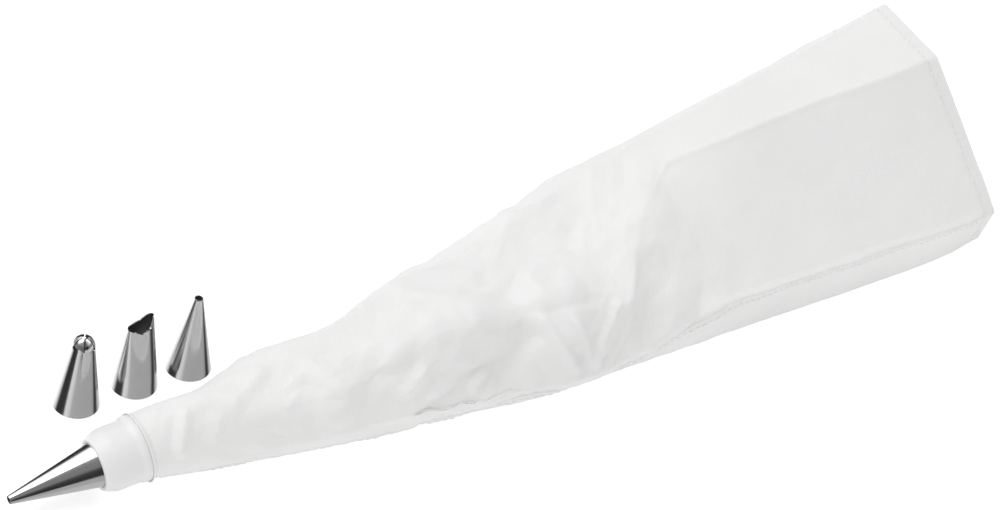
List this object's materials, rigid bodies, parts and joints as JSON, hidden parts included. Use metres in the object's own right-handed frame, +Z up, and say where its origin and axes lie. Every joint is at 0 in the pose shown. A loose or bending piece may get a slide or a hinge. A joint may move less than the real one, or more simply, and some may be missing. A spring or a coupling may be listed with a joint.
{
  "type": "piping bag",
  "caption": "Coated cotton piping bag lying open, with a screw-ring coupler holding a plain round steel nozzle and spare star, leaf and fine round nozzles.",
  "frame": {"origin": "on the bench, in the bag's flat resting face, 100 mm forward of the filling mouth and 30 mm from the coupler axis", "axes": "+X runs along the bag from the nozzle to the filling mouth, +Z up, +Y to the side where the spare nozzles stand"},
  "size_m": [0.4366, 0.1303, 0.0784],
  "materials": {
    "bag_cloth": "white coated cotton, satin",
    "thread": "white polyester thread",
    "coupler_plastic": "white moulded plastic",
    "nozzle_steel": "bright drawn stainless steel"
  },
  "bodies": {
    "bag": {"bag_panel": "bag_cloth", "mouth_hem": "bag_cloth", "side_seam": "bag_cloth", "hem_thread": "thread", "seam_thread": "thread"},
    "base": {"coupler_base": "coupler_plastic"},
    "nozzle": {"round_nozzle": "nozzle_steel"},
    "ring": {"coupler_ring": "coupler_plastic"},
    "spare_star": {"star_nozzle": "nozzle_steel"},
    "spare_leaf": {"leaf_nozzle": "nozzle_steel"},
    "spare_writing": {"writing_nozzle": "nozzle_steel"}
  },
  "joints": [
    {"name": "nozzle_pull", "type": "slide", "parent": "bag", "child": "nozzle", "axis": [-0.9877, 0, -0.1564], "range_m": [0, 0.015]},
    {"name": "ring_screw", "type": "hinge", "parent": "nozzle", "child": "ring", "pos_m": [-0.3, -0.03, 0.012], "axis": [-0.9877, 0, -0.1564], "range_deg": [0, 1800.5]},
    {"name": "base_withdraw", "type": "slide", "parent": "bag", "child": "base", "axis": [0.9877, 0, 0.1564], "range_m": [0, 0.08]},
    {"name": "star_lift", "type": "slide", "parent": "bag", "child": "spare_star", "axis": [0, 0, 1], "range_m": [0, 0.1]},
    {"name": "leaf_lift", "type": "slide", "parent": "bag", "child": "spare_leaf", "axis": [0, 0, 1], "range_m": [0, 0.1]},
    {"name": "writing_lift", "type": "slide", "parent": "bag", "child": "spare_writing", "axis": [0, 0, 1], "range_m": [0, 0.1]}
  ],
  "couplings": [
    {"joint": "ring_screw", "follows": "nozzle_pull", "rad_per_m": 2094.4}
  ]
}
